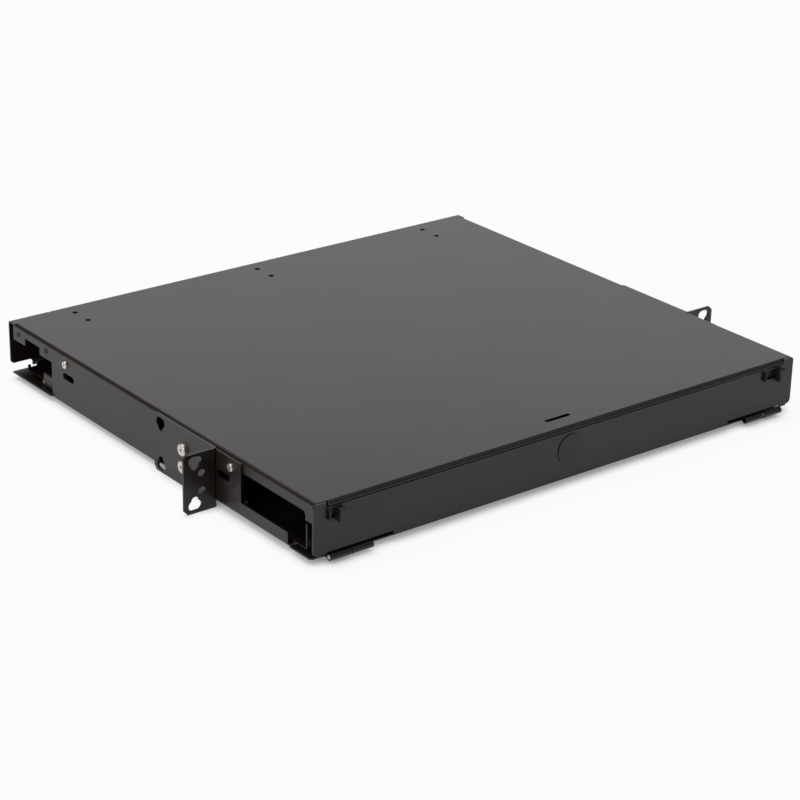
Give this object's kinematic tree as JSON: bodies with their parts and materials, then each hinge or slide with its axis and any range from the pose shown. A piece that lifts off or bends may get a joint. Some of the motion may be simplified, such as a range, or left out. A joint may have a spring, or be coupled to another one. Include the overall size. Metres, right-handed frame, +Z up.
{
  "type": "fibre optic patch panel",
  "caption": "Black 1U 19 inch fibre patch panel with rack ears, a drop-down front door with two slide latches, and a slide-out adapter tray.",
  "frame": {"origin": "middle of the rack hole pattern, on the rear faces of the ears that rest against the rack posts", "axes": "+X to the panel's right seen from the front, +Y from the front door to the rear, +Z up"},
  "size_m": [0.4826, 0.3934, 0.044],
  "materials": {
    "black_powder_coat": "satin powder coat",
    "zinc_steel": "bright zinc plate",
    "black_rivet": "satin",
    "white_nylon": "moulded",
    "black_plastic": "moulded",
    "blue_plastic": "moulded",
    "cap_plastic": "moulded",
    "grey_plastic": "moulded",
    "clear_plastic": "clear moulded"
  },
  "bodies": {
    "chassis": {"outer_shell": "black_powder_coat", "base_pan": "black_powder_coat", "rack_ear_left": "black_powder_coat", "rack_ear_right": "black_powder_coat", "ear_screws": "zinc_steel", "cover_screws": "zinc_steel", "band_rivets": "black_rivet", "slide_rail_left": "black_powder_coat", "slide_rail_right": "black_powder_coat", "rail_guides": "white_nylon"},
    "tray": {"tray_pan": "black_powder_coat", "tray_sill": "black_powder_coat", "adapter_bulkhead": "black_powder_coat", "adapter_plate_left": "black_powder_coat", "adapter_plate_middle": "black_powder_coat", "adapter_plate_right": "black_powder_coat", "adapters_left": "blue_plastic", "adapters_middle": "blue_plastic", "adapters_right": "blue_plastic", "dust_caps_left": "cap_plastic", "dust_caps_middle": "cap_plastic", "dust_caps_right": "cap_plastic", "plate_plungers": "black_plastic", "fibre_spool_left": "black_plastic", "fibre_spool_right": "black_plastic", "splice_tray": "grey_plastic", "splice_cover": "clear_plastic", "cord_clips": "black_plastic", "tie_anchors": "grey_plastic", "sill_knuckle_left": "black_powder_coat", "sill_knuckle_right": "black_powder_coat", "hinge_pin_left": "zinc_steel", "hinge_pin_right": "zinc_steel"},
    "door": {"door_panel": "black_powder_coat", "lock_hole_plug": "black_plastic", "door_knuckle_left": "black_powder_coat", "door_knuckle_right": "black_powder_coat", "latch_housing_left": "black_plastic", "latch_housing_right": "black_plastic"},
    "latch_left": {"latch_slider_left": "black_plastic"},
    "latch_right": {"latch_slider_right": "black_plastic"}
  },
  "joints": [
    {"name": "tray_slide", "type": "slide", "parent": "chassis", "child": "tray", "axis": [0, -1, 0], "range_m": [0, 0.24]},
    {"name": "door_hinge", "type": "hinge", "parent": "tray", "child": "door", "pos_m": [0, -0.1122, -0.0168], "axis": [1, 0, 0], "range_deg": [0, 170]},
    {"name": "latch_left_slide", "type": "slide", "parent": "door", "child": "latch_left", "axis": [0, 0, 1], "range_m": [0, 0.0046]},
    {"name": "latch_right_slide", "type": "slide", "parent": "door", "child": "latch_right", "axis": [0, 0, 1], "range_m": [0, 0.0046]}
  ]
}
